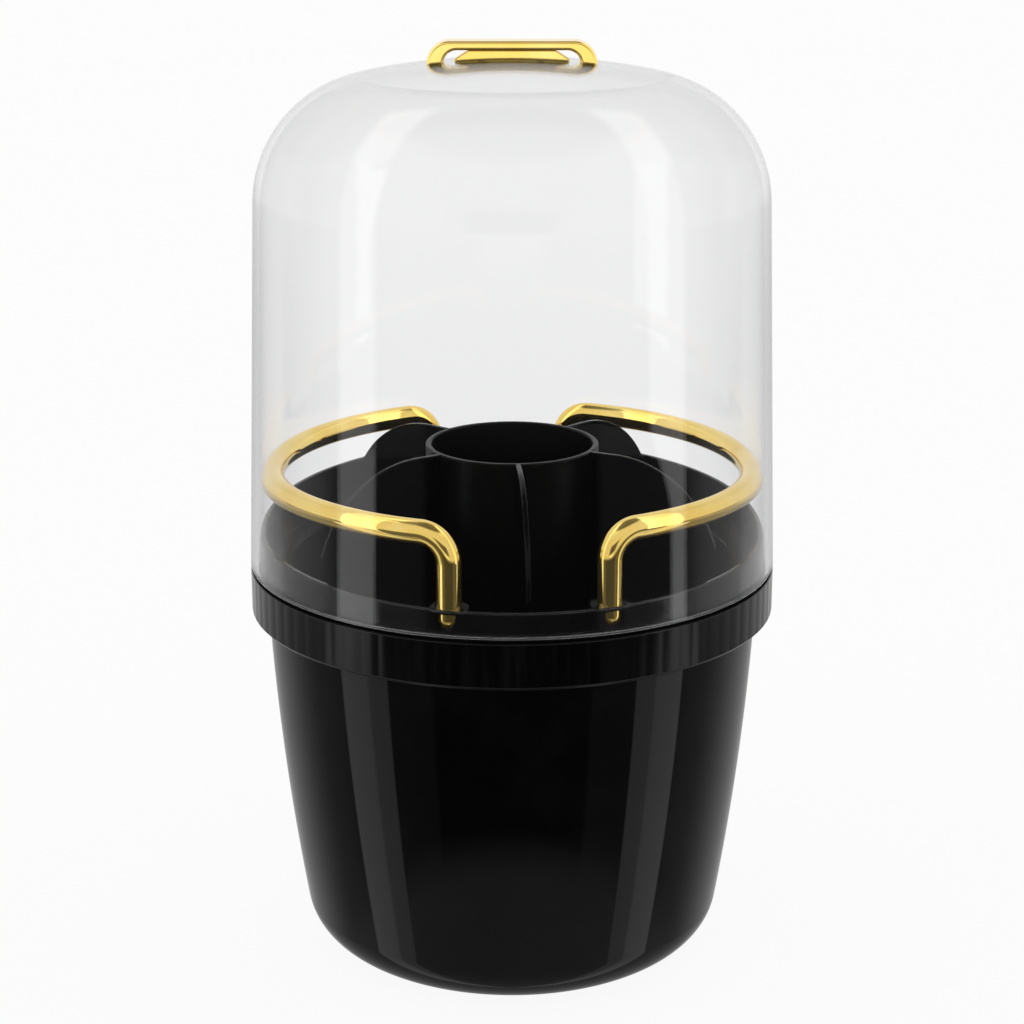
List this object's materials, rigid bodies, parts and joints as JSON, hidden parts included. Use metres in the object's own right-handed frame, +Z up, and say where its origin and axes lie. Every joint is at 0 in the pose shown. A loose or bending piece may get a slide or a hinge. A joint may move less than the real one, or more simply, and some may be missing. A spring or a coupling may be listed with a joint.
{
  "type": "makeup brush holder",
  "caption": "Round glossy makeup brush holder: a tapered cup with a turning collar, a divided lift-out tray with bent rails, and a clear lift-off cover with a bridge handle.",
  "frame": {"origin": "on the surface it stands on, under the middle of the cup", "axes": "+Z up along the middle tube, -Y towards the front of the picture, +X to the right"},
  "size_m": [0.132, 0.132, 0.2302],
  "materials": {
    "black_gloss": "high gloss black",
    "gold_plate": "polished gold plate",
    "clear_plastic": "clear polished",
    "pad_rubber": "matt",
    "slip_plastic": "natural",
    "stud_steel": "plain"
  },
  "bodies": {
    "base": {"cup": "black_gloss", "glide_ring": "slip_plastic", "foot_pad_1": "pad_rubber", "foot_pad_2": "pad_rubber", "foot_pad_3": "pad_rubber", "foot_pad_4": "pad_rubber"},
    "collar": {"collar": "black_gloss"},
    "tray": {"tray": "black_gloss", "center_tube": "black_gloss", "divider_1": "black_gloss", "divider_2": "black_gloss", "divider_3": "black_gloss", "divider_4": "black_gloss", "divider_5": "black_gloss", "rail_left": "gold_plate", "rail_right": "gold_plate"},
    "cover": {"dome": "clear_plastic", "handle_arch": "gold_plate", "handle_block": "gold_plate", "handle_studs": "stud_steel"}
  },
  "joints": [
    {"name": "collar_turn", "type": "hinge", "parent": "base", "child": "collar", "pos_m": [0, 0, 0.0956], "axis": [0, 0, 1], "continuous": true},
    {"name": "tray_lift", "type": "slide", "parent": "collar", "child": "tray", "axis": [0, 0, 1], "range_m": [0, 0.1]},
    {"name": "cover_lift", "type": "slide", "parent": "tray", "child": "cover", "axis": [0, 0, 1], "range_m": [0, 0.12]}
  ]
}
